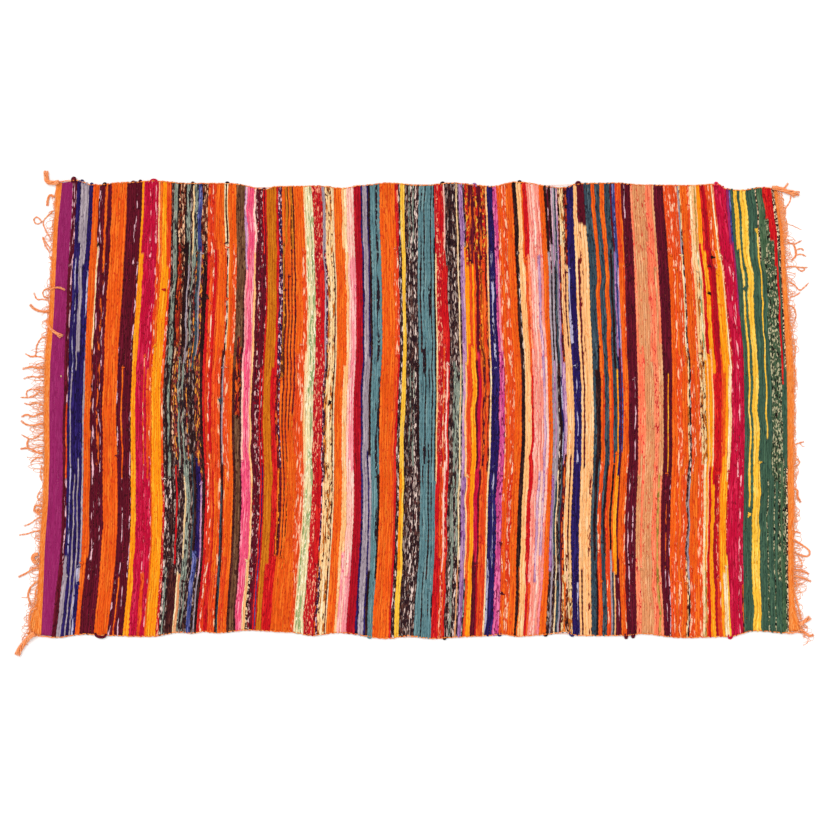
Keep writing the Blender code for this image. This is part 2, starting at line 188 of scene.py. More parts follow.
# The weaver's chart. For each section: the X of its right edge at each guide height, and its stripes, one to
# a row. A row has the stripe's number of picks, or the share of a usual width that one narrow pick has, and
# then its five rags from the low selvedge to the high one. navy*3 is three rags of navy, and a lone name is
# all five. The joins between the five are at RAG_JOINS, or else at the four heights that follow the word at.
SECTIONS = (
    ((-676, -664, -661, -654, -643), """
    1   maroon*4 maroon_white
    0.6 maroon maroon_white red_orange maroon_white*2 at -306 -106 20 317
    1   grey navy*4
    0.5 grey navy_white grey navy_white navy
    1   navy*4 grey
    0.5 grey*2 navy grey*2
    1   navy*3 grey*2
    0.5 grey*2 navy*2 grey
    1   navy_white navy*4
    0.6 navy grey*2 navy_white navy
    """),
    ((-610, -593, -596, -585, -575), """
    2   orange
    0.6 maroon orange*4
    0.6 maroon*2 maroon_orange cream maroon_white
    1   maroon maroon_white*4
    1   maroon
    1   maroon*2 maroon_orange*2 orange
    0.7 maroon maroon_white*3 maroon
    1   maroon
    6   orange
    """),
    ((-579, -566, -567, -557, -546), """
    0.7 maroon_white maroon maroon_white maroon*2
    1   maroon
    0.5 orange maroon_white orange maroon*2
    1   maroon
    0.6 maroon_white maroon*3 maroon_white
    1   maroon
    0.6 maroon maroon_white*3 maroon
    """),
    ((-509, -499, -504, -492, -486), """
    1   amber
    1   amber*4 crimson
    2   crimson
    1   crimson*4 crimson_white
    0.5 red_orange crimson_white orange_white crimson*2
    1   red_orange crimson*4
    1   crimson*2 red_orange crimson_white*2
    0.6 crimson_white*2 orange_white red_orange crimson_white
    0.6 orange*3 red_orange_white peach
    1   amber*3 orange*2
    2   amber
    1   amber*4 red_orange
    1   red_white*2 orange_white red_orange_white red_orange
    """),
    ((-435, -420, -425, -417, -411), """
    1   black_white*2 black_print*3
    0.6 sage black_print black sage*2
    1   black_print black_white sage*3
    0.6 dark_brown black*4
    1   dark_brown black_print brown_print red_brown brown_print
    0.6 dark_brown red bright_print red_brown brown_print
    1   dark_brown black_print bright_print brown_print*2
    0.6 cream black_white sage black*2
    1   tan black_print*2 black sage
    0.6 sage cream sage grey sage
    1   black_print sage black_print*3
    0.6 sage*2 bright_print sage cream
    1   black_print*4 sage
    0.6 black_print slate black bright_print sage
    1   blue black black_print slate blue
    0.6 blue navy bright_print grey blue
    1   black_print navy bright_print*2 brown_print
    0.6 grey lilac bright_print black brown_print
    1   black*4 brown_print
    """),
    ((-400, -389, -389, -379, -379), """
    1   red*4 red_orange
    1   red_orange_white*2 red_orange*2 red_orange_white
    0.6 red_orange red_orange_white*4
    1   red red_orange red*2 red_orange
    0.6 red*2 red_orange*2 orange
    2   red_orange orange red_orange orange*2
    1   orange_white*3 orange*2
    """),
    ((-376, -364, -364, -356, -355), """
    0.7 black slate dark_brown orange_white cream
    0.7 slate dark_brown grey black_white black
    0.5 orange orange_white*2 cream*2
    2   red_orange orange orange_white orange*2
    2   orange*3 orange_white orange
    """),
    ((-315, -302, -302, -295, -295), """
    1   dark_brown*3 brown*2
    1   brown*2 maroon_orange brown*2 at -306 0 160 317
    1   brown*2 red_brown brown*2 at -306 -10 130 317
    0.6 dark_brown*4 brown
    1   hot_pink*2 pale_pink pink lilac
    2   hot_pink
    0.6 cream hot_pink pink*2 hot_pink
    0.8 peach*4 pale_pink
    1   black_dots dark_red_white maroon*2 dark_red_white
    1   dark_red_white maroon dark_red_white*2 maroon
    1   maroon dark_red_white*2 maroon dark_red_white
    0.7 red*3 maroon red
    0.4 blue navy dark_red_white*2 maroon
    0.6 red
    """),
    ((-283, -268, -269, -264, -265), """
    2   ochre
    1   red ochre*4
    1   red*3 ochre*2
    1   red
    1   red orange_dark maroon_orange navy_dots*2
    0.6 orange maroon navy_dots*3
    """),
    # In this section the narrow picks, mostly maroon, are painted shade: dark picks that stand for the shadow
    # in the gaps between the thick orange picks.
    ((-239, -226, -220, -216, -221), """
    1   orange*3 ochre_dark orange
    0.4 orange_dark maroon*3 orange at -306 -240 109 250
    1   orange*4 ochre_dark
    0.4 orange orange_dark maroon*2 orange_dark at -306 -90 109 280
    1   orange
    0.4 orange*2 maroon*2 ochre_dark at -306 -30 109 330
    1   orange*4 ochre_dark
    0.4 orange*2 orange_dark maroon*2 at -306 -60 0 317
    1   orange*2 red_orange orange*2
    1   orange orange_white*2 orange*2
    1   orange orange_white*2 orange*2
    1   orange_white*4 orange
    0.6 orange_white*2 peach orange_white orange
    """),
    ((-175, -165, -160, -155, -160), """
    0.6 cream
    3   cream_green
    2   red_white
    2   red_white red red_white red red_white
    0.6 maroon_orange navy_dots*2 grey*2
    0.7 navy_dots peach bright_print navy_dots grey
    1   cream_print
    1   cream cream_print cream*2 cream_print
    1   cream_print
    0.4 maroon brown_print dark_brown maroon cream
    0.6 cream
    """),
    ((-134, -123, -121, -116, -121), """
    3   orange
    1   peach*3 orange peach
    1   pink peach*3 cream
    1   pale_pink
    2   pink pale_pink pink*2 pale_pink
    """),
    ((-93, -87, -86, -83, -89), """
    3   deep_red
    0.7 navy
    2   grey
    0.5 navy*2 grey navy*2
    1   black grey black*3
    """),
    ((-82, -72, -69, -64, -70), """
    2   teal
    1   teal teal_black*4
    1   teal black teal_black teal*2
    """),
    ((-38, -32, -27, -24, -30), """
    5   orange
    1   orange red_orange*2 orange_white orange
    0.7 red*3 red_orange_white red
    0.5 black_white black_print black_white black_print red_white
    0.7 black_white
    """),
    ((1, 10, 9, 7, 7), """
    1   yellow amber yellow*3
    0.7 yellow
    0.6 black_print
    1   black_print
    0.6 black_white black_print sage black_white sage
    1   black_print black_white black_print*2 black_white
    0.6 black_white black_print sage black_print sage
    1   black_white
    1   black_print*2 black black_print black_white
    """),
    ((35, 40, 42, 42, 39), """
    1   teal
    0.6 teal teal_black teal black teal_black
    1   teal*2 teal_black teal*2
    0.4 black teal black teal_black black
    1   teal
    0.6 teal black teal_black teal*2
    1   teal*3 teal_black teal
    0.4 teal_black*2 black*3
    1   teal
    0.6 teal_black teal black*2 teal_black
    """),
    ((86, 91, 95, 95, 88), """
    0.6 red*2 peach cream red
    1   red*2 red_white*3
    1   red red_orange red_white*2 red
    0.6 orange_white*3 red*2
    0.7 red_white pale_pink red_white red red_white
    0.6 red_orange red_white pale_pink red pale_pink
    0.6 red*4 black_print
    1   black_print
    0.6 black_white sage black_print*2 black
    1   sage*3 black_print*2
    0.6 black_print*2 sage black_white*2
    1   black_white sage*2 black_print*2
    0.5 tan cream*4
    0.6 black_print black_white sage black_print*2
    """),
    ((140, 146, 154, 151, 145), """
    1   purple*2 lilac purple*2
    0.6 purple*2 peach lilac purple
    0.6 sage peach red_orange amber black_print
    1   red_orange*3 amber red_yellow
    1   amber*3 red_orange maroon_orange
    0.6 amber*4 maroon
    0.6 maroon crimson maroon red_orange maroon_orange
    1   maroon crimson*2 maroon red_yellow
    0.6 deep_red maroon red_orange red_yellow maroon
    1   red_orange*2 maroon_orange orange_dark maroon_orange
    1   red_orange*4 red_yellow
    0.6 red_orange orange maroon_orange*3
    0.6 cream*3 peach*2
    """),
    ((169, 174, 181, 174, 164), """
    1   navy_white navy*4
    1   navy navy_white navy navy_white navy
    1   navy
    1   magenta
    1   magenta*3 pink magenta
    """),
    ((201, 206, 214, 207, 196), """
    1   orange_white
    1   orange
    2   orange_white red_orange_white orange_white*3
    3   orange
    """),
    ((251, 262, 267, 260, 248), """
    1   black
    0.5 orange_dark black*2 black_white black
    2   peach
    0.5 peach red peach*2 orange
    1   red*3 red_orange red
    1   red_orange salmon*2 coral red
    1   salmon
    1   salmon lilac salmon pale_pink salmon
    1   pale_pink*2 salmon*2 pale_pink
    1   salmon lilac*3 salmon
    1   pink salmon pale_pink salmon*2
    """),
    ((264, 271, 275, 270, 258), """
    2   orange
    """),
    ((315, 313, 318, 308, 304), """
    1   black_print purple grey*2 black
    0.6 grey*2 lilac black maroon_white
    1   black_print slate grey*2 black
    0.5 cream*2 black_white black lilac
    1   slate black_print black slate grey
    0.6 grey slate navy_white grey slate
    0.6 maroon*2 purple*2 lilac
    1   cream_print maroon_orange lilac maroon_orange brown_print
    0.6 orange_dark cream peach*2 cream
    1   brown_print peach*2 peach_maroon cream_print
    0.5 cream_print maroon peach maroon brown_print
    1   cream_print peach*3 red_brown
    """),
    ((352, 352, 358, 352, 340), """
    1   navy*3 navy_white navy
    1   navy*2 navy_white navy*2
    0.7 navy_white navy*4
    1   peach
    0.5 maroon peach maroon*2 peach
    1   peach*3 peach_maroon maroon at -306 -106 109 380
    1   peach*4 maroon at -306 -106 109 384
    1   peach_maroon*2 peach*2 maroon at -306 -106 109 376
    """),
    ((412, 410, 418, 411, 402), """
    1   slate
    1   slate black*2 slate*2
    0.6 black slate black slate*2
    1   red_orange orange_white orange*3
    0.5 orange red_orange*2 orange*2
    1   slate
    0.8 slate black slate*3
    1   orange_white red_orange orange*3
    0.6 red_orange orange red_orange orange*2
    0.7 grey black slate*3
    0.7 slate orange slate black slate
    0.6 peach amber*2 slate*2
    0.7 maroon amber navy purple maroon
    0.6 maroon_white maroon*2 blue*2
    0.5 maroon orange blue lilac blue
    """),
    ((443, 443, 448, 442, 432), """
    2   orange*4 red_orange
    0.6 orange_white*2 orange orange_white orange
    1   maroon
    0.6 maroon_white*2 maroon*2 maroon_white
    1   maroon
    0.6 maroon maroon_white*2 maroon*2
    1   maroon
    """),
    ((498, 493, 498, 490, 479), """
    1   coral_red tan coral*3
    1   coral_red tan coral tan tan_red
    1   tan coral*2 tan tan_red
    3   tan tan_red tan*2 tan_red
    1   tan*3 coral tan_red
    2   coral*2 coral_red coral*2
    1   olive*2 tan*2 coral
    1   coral*2 tan coral tan
    """),
    ((513, 511, 515, 510, 498), """
    2   maroon
    0.5 maroon_white maroon_orange amber maroon*2
    1   maroon
    0.6 maroon_white*2 maroon*3
    """),
    ((571, 571, 571, 561, 550), """
    2   orange_white orange*3 orange_white
    1   orange orange_white*4
    1   orange_white orange orange_white orange orange_white
    2   orange orange_white orange orange_white*2
    0.6 cream_print black_print cream_print cream grey
    0.6 black_white grey black_white*2 cream_print
    2   orange_white orange orange_white orange*2
    1   orange
    1   orange orange_white*4
    """),
    ((634, 627, 638, 627, 604), """
    1   orange_white*2 cream_print peach cream
    1   cream*2 cream_print*2 peach
    0.6 olive amber*2 cream_green olive
    0.5 orange_white peach*4
    1   red*2 amber red amber
    0.6 amber*2 peach amber*2
    1   amber*2 red amber red
    1   deep_red*2 red*2 deep_red
    1   red_orange red_white red deep_red red
    0.6 orange_white orange red_orange deep_red red_orange
    1   amber*2 orange amber orange_white
    1   cream amber*3 orange
    0.6 cream amber cream amber cream
    0.6 yellow red_white cream*2 orange_white
    0.6 crimson*2 crimson_white red_white crimson
    """),
    ((659, 656, 660, 650, 633), """
    2   crimson
    1   crimson*2 crimson_white*2 crimson
    0.5 crimson_white crimson*2 crimson_white crimson
    1   crimson crimson_white crimson*2 plum at -306 -106 109 340
    0.6 maroon_orange crimson*2 plum blue at -306 -106 200 350
    """),
    (None, """
    1   green
    0.6 green*4 yellow at -306 -106 109 330
    0.7 green*2 yellow*3 at -306 -184 109 317
    0.8 green
    2   yellow
    0.6 yellow*2 green*3 at -306 -88 109 317
    2   green
    0.5 green*2 yellow*2 green at -306 -42 109 366
    0.5 green_speckle*2 green*2 black_dots
    1   green*4 light_green
    0.6 green*2 green_speckle*2 light_green
    0.5 green_speckle*4 light_green
    1   green*2 green_speckle*2 red at -306 -106 109 392
    1   green green_speckle*3 red at -306 -106 109 352
    0.6 light_green*2 green_speckle*2 red at -306 -106 109 300
    0.6 light_green green_speckle green red*2 at -306 -106 60 317
    0.5 green_speckle*2 green*2 black_dots
    0.5 black_dots*2 green black_dots*2 at -280 -106 109 170
    """),
)
PLUM_EDGE = (-721, -706, -703, -695, -684)  # the plum band's right edge, where the first section starts

# Where a heading ends, as a distance out from its seam: the Y, and the left and right headings' widths.
HEADING_WIDTHS = (
    (-441, 27, 30), (-420, 24, 22), (-400, 21, 16), (-372, 12, 12), (-300, 10, 12), (-200, 11, 13),
    (-100, 11, 13), (14, 11, 14), (114, 12, 15), (200, 10, 11), (300, 9, 9), (400, 9, 8), (460, 12, 8),
)
HEADINGS_END = {-1: -740.0, 1: 750.0}  # about where, on the left and on the right

WARP_YARN = ((248, 134, 52), (255, 158, 82), (238, 114, 40), 0.30, 12, 2.0, 0.12)
FRINGE_YARN = ((250, 150, 92), (255, 178, 128), (238, 124, 64), 0.30, 12, 2.0, 0.12)
WEB_YARN = ((255, 156, 98), (255, 184, 134), (250, 138, 74), 0.30, 12, 2.0, 0.12)

# ---------------------------------------------------------------- the fringe

# Tails and loops of the fringe: how thick, how many yarns are twisted together, and the points on their way.
LEFT_TAILS = (
    (9, 6, ((-710, 465), (-723, 463), (-735, 466), (-736, 476), (-736, 488))),
    (5, 4, ((-720, 436), (-729, 441), (-733, 431), (-734, 418))),
    (3, 2, ((-722, 408), (-734, 398), (-745, 386), (-736, 367), (-726, 348))),
    (3, 2, ((-745, 386), (-755, 398), (-763, 390), (-755, 380), (-745, 386))),
    (3, 2, ((-724, 330), (-734, 339), (-745, 361), (-741, 344), (-729, 324))),
    (3, 2, ((-723, 316), (-730, 315), (-725, 308))),
    (4, 3, ((-729, 251), (-716, 255), (-706, 254), (-698, 249))),
    (3, 2, ((-726, 251), (-738, 253), (-745, 243), (-738, 233), (-727, 237))),
    (3, 2, ((-730, 228), (-744, 232), (-756, 230), (-761, 245))),
    (5, 4, ((-729, 208), (-745, 206), (-761, 212), (-769, 221))),
    (5, 4, ((-736, 188), (-727, 172), (-716, 164), (-702, 158))),
    (4, 3, ((-734, 182), (-724, 168), (-714, 161), (-707, 154))),
    (3, 2, ((-733, 156), (-747, 155), (-756, 138), (-757, 119))),
    (3, 2, ((-737, 110), (-751, 118), (-767, 116), (-779, 123))),
    (3, 2, ((-757, 121), (-762, 116), (-770, 117))),
    (4, 3, ((-738, 95), (-749, 93), (-764, 97), (-784, 92))),
    (3, 2, ((-737, 78), (-750, 74), (-767, 78), (-782, 72))),
    (3, 2, ((-739, 46), (-750, 51), (-769, 52), (-777, 46), (-774, 35))),
    (3, 2, ((-750, 48), (-758, 40), (-766, 35), (-788, 35))),
    (3, 2, ((-741, 18), (-760, 26), (-770, 20), (-781, 24))),
    (4, 3, ((-742, 4), (-751, 3), (-763, -5), (-775, 2), (-786, -4))),
    (4, 3, ((-741, -16), (-760, -21), (-777, -20), (-787, -11))),
    (3, 2, ((-742, -34), (-755, -44), (-767, -50), (-786, -39))),
    (4, 3, ((-771, -49), (-775, -56), (-773, -65))),
    (4, 3, ((-742, -78), (-753, -76), (-772, -65), (-788, -68))),
    (3, 2, ((-743, -84), (-760, -87), (-768, -97))),
    (3, 2, ((-746, -100), (-748, -114), (-745, -132))),
    (3, 2, ((-746, -174), (-755, -166), (-752, -156), (-746, -154))),
    (4, 3, ((-746, -182), (-758, -179), (-761, -189), (-752, -196), (-746, -190))),
    (4, 3, ((-747, -200), (-757, -194), (-753, -186), (-745, -194))),
    (3, 2, ((-747, -204), (-756, -208), (-767, -217), (-781, -222))),
    (3, 2, ((-746, -230), (-762, -233), (-774, -238), (-791, -240))),
    (8, 5, ((-752, -278), (-761, -280), (-764, -288), (-757, -295), (-750, -289))),
    (4, 3, ((-751, -304), (-762, -307), (-775, -316), (-792, -324))),
    (4, 3, ((-752, -332), (-763, -339), (-772, -351), (-773, -364), (-766, -382))),
    (3, 2, ((-752, -338), (-758, -352), (-758, -370), (-765, -384))),
    (2, 1, ((-772, -362), (-778, -366), (-786, -364))),
    (4, 3, ((-754, -386), (-766, -388), (-771, -404), (-769, -426), (-764, -440))),
    (10, 7, ((-758, -436), (-769, -443), (-780, -456), (-789, -468), (-794, -480))),
)
RIGHT_TAILS = (
    (9, 6, ((714, 454), (730, 452), (748, 445), (769, 442))),
    (4, 3, ((736, 452), (743, 457), (747, 464))),
    (4, 3, ((748, 445), (755, 440), (760, 435))),
    (3, 2, ((753, 440), (751, 426), (743, 416), (738, 402))),
    (2, 1, ((742, 384), (758, 378), (774, 370))),
    (3, 2, ((742, 348), (757, 341), (763, 343), (774, 349))),
    (4, 3, ((757, 343), (762, 331), (763, 317), (753, 309))),
    (3, 2, ((763, 330), (774, 334), (778, 328))),
    (3, 2, ((763, 320), (774, 322), (783, 317))),
    (3, 2, ((739, 294), (757, 298), (771, 295), (786, 295))),
    (3, 2, ((763, 296), (772, 287), (781, 289), (778, 296))),
    (3, 2, ((748, 266), (759, 262), (770, 247), (780, 256), (788, 264))),
    (3, 2, ((771, 245), (763, 239), (751, 235))),
    (3, 2, ((744, 222), (759, 215), (764, 200), (759, 185))),
    (3, 2, ((750, 154), (761, 142), (762, 124), (757, 112))),
    (3, 2, ((756, 100), (763, 88), (761, 70), (758, 58))),
    (3, 2, ((758, -60), (769, -56), (779, -53))),
    (2, 1, ((769, -56), (775, -62), (780, -63))),
    (3, 2, ((759, -56), (763, -72), (762, -86), (759, -100))),
    (3, 2, ((761, -85), (771, -92), (768, -99), (760, -103))),
    (5, 4, ((757, -146), (767, -151), (764, -162), (772, -175))),
    (3, 2, ((755, -230), (757, -214), (760, -204), (766, -198))),
    (3, 2, ((756, -236), (764, -233), (772, -236))),
    (4, 3, ((756, -247), (772, -258), (785, -266), (792, -275), (786, -284), (771, -280), (757, -273))),
    (3, 2, ((768, -283), (774, -294), (776, -304), (760, -305))),
    (4, 3, ((756, -312), (772, -310), (789, -318))),
    (4, 3, ((756, -322), (774, -324), (793, -333))),
    (3, 2, ((756, -328), (766, -334), (762, -344))),
    (4, 3, ((759, -352), (764, -370), (769, -390), (773, -410))),
    (8, 5, ((768, -420), (778, -414), (791, -404))),
    (5, 4, ((770, -428), (782, -436), (791, -443), (798, -439))),
    (3, 2, ((740, -434), (755, -437), (774, -428))),
)

# Where fine loose threads make a web along a heading: from one Y to another, how far out it reaches, and how
# many there are.
LEFT_WEBS = (
    (444, -436, 6, 170), (452, 416, 10, 6), (414, 346, 20, 13), (334, 304, 10, 6), (262, 200, 18, 14),
    (200, 124, 16, 14), (128, -16, 36, 61), (-16, -108, 40, 41), (-108, -176, 10, 13), (-174, -232, 22, 24),
    (-232, -302, 14, 20), (-302, -388, 24, 33), (-380, -442, 18, 24),
)
RIGHT_WEBS = (
    (444, -436, 7, 230), (440, 350, 14, 120), (452, 384, 14, 24), (354, 304, 26, 22), (304, 230, 24, 22),
    (228, 134, 18, 50), (134, 44, 10, 33), (44, -60, 7, 22), (-52, -108, 14, 16), (-108, -186, 10, 16),
    (-186, -244, 14, 14), (-244, -308, 30, 22), (-306, -346, 34, 30), (-346, -426, 18, 30),
    (-416, -442, 26, 13),
)

# Knots where one rag is tied to the next: the place, how big it is across, and the rag.
KNOTS = (
    (-663, -296, 7, "orange"), (-631, 341, 6, "black"), (-375, 232, 8, "red_orange"),
    (-388, 30, 9, "slate"), (-499, 250, 7, "red"), (-414, 234, 8, "dark_brown"), (-169, 26, 8, "black"),
    (168, -210, 7, "magenta"), (172, -256, 7, "maroon"), (167, -308, 8, "magenta"),
    (174, -356, 7, "maroon"), (213, 334, 7, "peach"), (669, -198, 8, "yellow"), (660, 252, 10, "green"),
    (660, 294, 7, "green"), (683, 370, 8, "yellow"), (594, 315, 7, "black"), (-706, 78, 3, "cream"),
    (588, 298, 6, "maroon"), (588, 244, 7, "black"), (605, 284, 7, "amber"),
)

# Loops of rag that stand out past a selvedge: where along X, how long, how far out, how thick, the side and
# the rag.
LOOPS = (
    (-681, 7, 4, 2.6, 1, "maroon"), (-664, 5, 2, 1.8, 1, "navy"), (-645, 5, 2, 1.4, 1, "navy"),
    (-619, 6, 2, 1.6, 1, "black"), (-562, 6, 1, 1.6, 1, "maroon"), (-548, 5, 2, 1.6, 1, "maroon"),
    (-521, 14, 2, 2.2, 1, "crimson"), (-443, 5, 2, 1.6, 1, "black"), (-374, 6, 2, 1.8, 1, "black"),
    (-627, 22, 3, 3.0, -1, "maroon"), (327, 9, 3, 2.2, 1, "maroon"), (423, 5, 5, 2.2, -1, "maroon"),
    (437, 5, 5, 2.2, -1, "maroon"), (603, 6, 3, 1.8, 1, "crimson"), (631, 8, 3, 2.2, -1, "crimson"),
    (120, 6, 2, 1.8, 1, "purple"), (210, 6, 2, 1.6, 1, "black"), (-90, 8, 2, 1.8, -1, "teal"),
    (60, 6, 2, 1.6, -1, "black"), (262, 7, 2, 1.8, -1, "black"), (314, 8, 2, 2.0, -1, "navy"),
    (56, 7, 2, 1.8, 1, "black"), (-300, 6, 1, 1.6, 1, "maroon"), (170, 7, 2, 1.8, -1, "navy"),
)


# ---------------------------------------------------------------- the outline and the picks' places

def read_outline(node):
    """The rag cloth's outline from its CAD node: the points of its selvedges and end seams, in mm."""
    points = np.array([v.co for v in node.data.vertices]) / MM
    x, y, z = points.T
    nose = (z > 1.0) & (z < 3.5)  # only the selvedges have points at that height
    outline = {}
    for name, side in (("low", nose & (y < 0)), ("high", nose & (y > 0))):
        order = np.argsort(x[side])
        outline[name] = (x[side][order], y[side][order])
    for name, side in (("left", -1), ("right", 1)):
        ends = [f for f in node.data.polygons if side * f.normal.x > 0.8 and abs(f.normal.z) < 0.3]
        ring = points[sorted({corner for face in ends for corner in face.vertices})]
        ring = ring[ring[:, 2] < 0.1]  # its lower edge
        order = np.argsort(ring[:, 1])
        outline[name] = (ring[order, 1], ring[order, 0])
    return outline


def smooth_line(places):
    """The X for a Y of a smooth line through the places at the guide heights, running straight past them."""
    heights, places = np.array(GUIDE_HEIGHTS, float), np.array(places, float)
    slopes = np.gradient(places, heights)

    def line(y):
        part = np.clip(np.searchsorted(heights, y) - 1, 0, len(heights) - 2)
        gap = heights[part + 1] - heights[part]
        along = (y - heights[part]) / gap
        share = np.clip(along, 0, 1)
        turn = share * share * (3 - 2 * share)
        first = places[part] + slopes[part] * share * gap
        second = places[part + 1] - slopes[part + 1] * (1 - share) * gap
        past = np.where(along < 0, slopes[0], slopes[-1]) * (along - share) * gap
        return first * (1 - turn) + second * turn + past

    return line


def drift(x, y):
    """How far the stripes drift sideways near a place, in long and short waves."""
    slow = np.sin(x / 61 + y / 97) * np.sin(y / 143 - x / 118 + 1.3)
    quick = np.sin(x / 23 - y / 41 + 0.7) * np.sin(y / 57 + x / 37)
    return SLOW_DRIFT * slow + QUICK_DRIFT * quick


def drifting_line(places):
    """The X for a Y of a section's edge that is charted at those places."""
    smooth = smooth_line(places)

    def line(y):
        x = smooth(y)
        return x + drift(x, y)

    return line


def seam_line(outline, end):
    """The X for a Y of the rag cloth's left or right end."""

    def line(y):
        return np.interp(y, *outline[end])

    return line


def heading_line(outline, side):
    """The X for a Y of a heading's outer edge. The left side is -1 and the right side is 1."""
    heights, left, right = np.array(HEADING_WIDTHS, float).T
    seam = seam_line(outline, "left" if side < 0 else "right")

    def line(y):
        return seam(y) + side * np.interp(y, heights, left if side < 0 else right)

    return line


def section_edges(outline):
    """The lines between the sections, from the plum band's edge to the right seam."""
    charted = [PLUM_EDGE] + [edge for edge, _ in SECTIONS[:-1]]
    return [drifting_line(places) for places in charted] + [seam_line(outline, "right")]


def warp_height(outline, x, share):
    """The Y of the warp thread at that share of the way from the low selvedge to the high one."""
    low, high = np.interp(x, *outline["low"]), np.interp(x, *outline["high"])
    return low + (high - low) * share


def warp_shares():
    """Each warp thread's share of the way across the rug."""
    return (np.arange(WARPS) + 0.5) / WARPS


def pick_places(outline, left, right, usual, rng, uneven):
    """Centres and widths of the picks between two lines, which give X for a Y: arrays of picks by warps.

    usual holds how wide each pick is beside the others, and uneven is how far that share strays."""
    count = len(usual)
    shares = np.broadcast_to(warp_shares(), (count, WARPS))
    strays = 0.7 * slow_noise(rng, count, WARPS, stretch=9) + 0.3 * slow_noise(rng, count, WARPS, stretch=3)
    widths = usual[:, None] * (1 + uneven * strays)
    widths /= widths.sum(axis=0)
    across = np.cumsum(widths, axis=0) - widths / 2
    x = np.broadcast_to(left(0.0) + (right(0.0) - left(0.0)) * across, shares.shape)
    for _ in range(3):  # each round brings X and Y nearer to agreeing
        y = warp_height(outline, x, shares)
        x = left(y) + (right(y) - left(y)) * across
    return x, y, (right(y) - left(y)) * widths


# ---------------------------------------------------------------- strands as meshes

SQUARENESS = 0.75  # the power that makes a round section squarer: 1 leaves it round
STRANDS_APART = 37.0  # how far apart neighbouring strands are in the noise, so that no two look the same
SEEDS_APART = 977.0  # and pieces with neighbouring seeds
UV_SIDE_GAP = 0.06  # left empty at each side of a strand's column in the bake layout, as a share of it
UV_END_GAP = 0.01
UV_CAP = 0.004  # where the caps lie, past the strands' ends


def slow_noise(rng, rows, count, stretch):
    """Smooth random values between -1 and 1 along each row, which change over that many samples."""
    knots = max(int(count / stretch) + 3, 4)
    values = rng.uniform(-1, 1, (rows, knots))
    at = np.linspace(0, knots - 1.001, count)
    whole = at.astype(int)
    part = at - whole
    part = part * part * (3 - 2 * part)
    return values[:, whole] * (1 - part) + values[:, whole + 1] * part


def flattened(values):
    """Makes a round section a little squarer."""
    return np.sign(values) * np.abs(values) ** SQUARENESS


def ring_points(centres, half_width, half_height, sides, roll=0.0):
    """Rings round strands that lie nearly flat, and each point's offset, by strand, ring and side."""
    heading = np.gradient(centres[..., :2], axis=1)
    heading /= np.maximum(np.linalg.norm(heading, axis=2, keepdims=True), 1e-9)
    first = 0.5 if sides == 4 else 0  # four-sided strands have a flat top
    angle = 2 * np.pi * (np.arange(sides) + first) / sides + np.asarray(roll)[..., None]
    across = flattened(np.cos(angle)) * half_width[..., None]
    up = flattened(np.sin(angle)) * half_height[..., None]
    x = centres[..., None, 0] + heading[..., None, 1] * across
    y = centres[..., None, 1] - heading[..., None, 0] * across
    z = centres[..., None, 2] + up
    return np.stack((x, y, z), axis=-1), across, up


def strand_faces(strands, rings, sides):
    """Quads along each strand, and the two end caps, as indices of points."""
    point = np.arange(strands * rings * sides).reshape(strands, rings, sides)
    after = np.roll(point, -1, axis=2)
    quads = np.stack((point[:, :-1], point[:, 1:], after[:, 1:], after[:, :-1]), axis=-1).reshape(-1, 4)
    caps = np.concatenate((point[:, 0], point[:, -1, ::-1]))
    return quads, caps


def strand_uv(strands, rings, sides):
    """A bake layout with the strands side by side, each in a column of its own."""
    column = (np.arange(strands)[:, None, None] + UV_SIDE_GAP) / strands
    step = (1 - 2 * UV_SIDE_GAP) / strands / sides
    u = column + step * np.arange(sides)[None, None, :]
    v = UV_END_GAP + (1 - 2 * UV_END_GAP) * np.arange(rings)[None, :, None] / (rings - 1)
    shape = (strands, rings - 1, sides)
    u, low, high = (np.broadcast_to(a, shape) for a in (u, v[:, :-1], v[:, 1:]))
    corners = np.stack((u, low, u, high, u + step, high, u + step, low), axis=-1).reshape(-1, 2)
    cap_u = np.broadcast_to(column + step * np.arange(sides), (strands, 1, sides)).reshape(-1)
    first = np.stack((cap_u, np.full_like(cap_u, UV_CAP)), axis=-1)
    last = np.stack((cap_u, np.full_like(cap_u, 1 - UV_CAP)), axis=-1)
    return np.concatenate((corners, first, last))


def strand_mesh(name, centres, half_width, half_height, rags, material, sides=6, roll=0.0, seed=0):
    """One piece of many strands, all with the same number of rings. rags holds each ring's rag facts."""
    strands, rings = centres.shape[:2]
    points, across, up = ring_points(centres, half_width, half_height, sides, roll)
    quads, caps = strand_faces(strands, rings, sides)
    mesh = bpy.data.meshes.new(name)
    mesh.vertices.add(points.size // 3)
    mesh.vertices.foreach_set("co", (points * MM).astype(np.float32).ravel())
    loops = np.concatenate((quads.ravel(), caps.ravel()))
    mesh.loops.add(len(loops))
    mesh.loops.foreach_set("vertex_index", loops.astype(np.int32))
    starts = np.concatenate((np.arange(len(quads)) * 4, quads.size + np.arange(len(caps)) * sides))
    mesh.polygons.add(len(starts))
    mesh.polygons.foreach_set("loop_start", starts.astype(np.int32))
    mesh.update(calc_edges=True)
    mesh.polygons.foreach_set("use_smooth", np.ones(len(starts), bool))
    uv = mesh.uv_layers.new(name="OFBake")
    uv.data.foreach_set("uv", strand_uv(strands, rings, sides).astype(np.float32).ravel())
    paint_strands(mesh, centres, across, up, rags, seed)
    mesh.materials.append(material)
    made = bpy.data.objects.new(name, mesh)
    bpy.context.scene.collection.objects.link(made)
    return made


